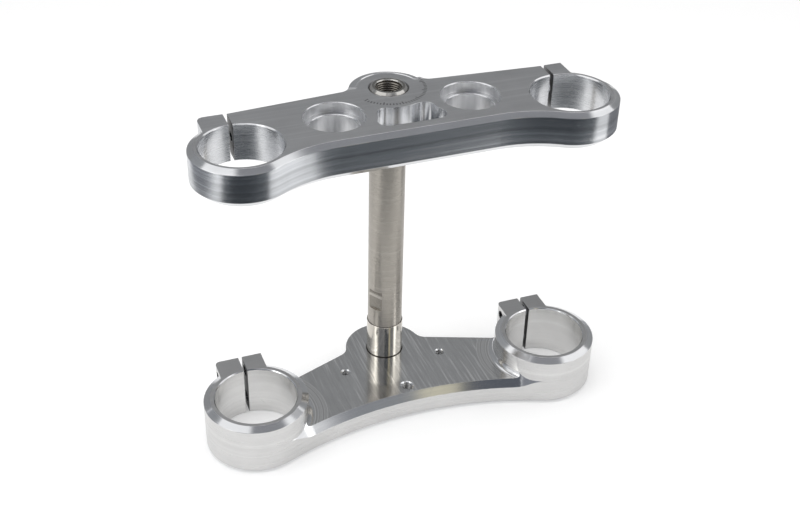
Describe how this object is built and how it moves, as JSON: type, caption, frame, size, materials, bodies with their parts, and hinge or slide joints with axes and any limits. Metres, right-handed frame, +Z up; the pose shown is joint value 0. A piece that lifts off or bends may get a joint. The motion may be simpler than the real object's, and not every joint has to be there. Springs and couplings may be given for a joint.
{
  "type": "motorcycle triple clamp",
  "caption": "Upper and lower fork clamps joined by a steering stem, with split fork bores and handlebar seats.",
  "frame": {"origin": "on the steering axis, at the underside of the lower clamp", "axes": "+Z up along the steering stem, -Y towards the front wheel, +X across the fork bores to the right in the picture"},
  "size_m": [0.279, 0.1034, 0.2264],
  "materials": {
    "lower_clamp": "machined, satin",
    "upper_clamp": "machined, satin",
    "steering_stem": "turned, satin"
  },
  "bodies": {
    "root": {"lower_clamp": "lower_clamp", "upper_clamp": "upper_clamp", "steering_stem": "steering_stem"}
  },
  "joints": []
}
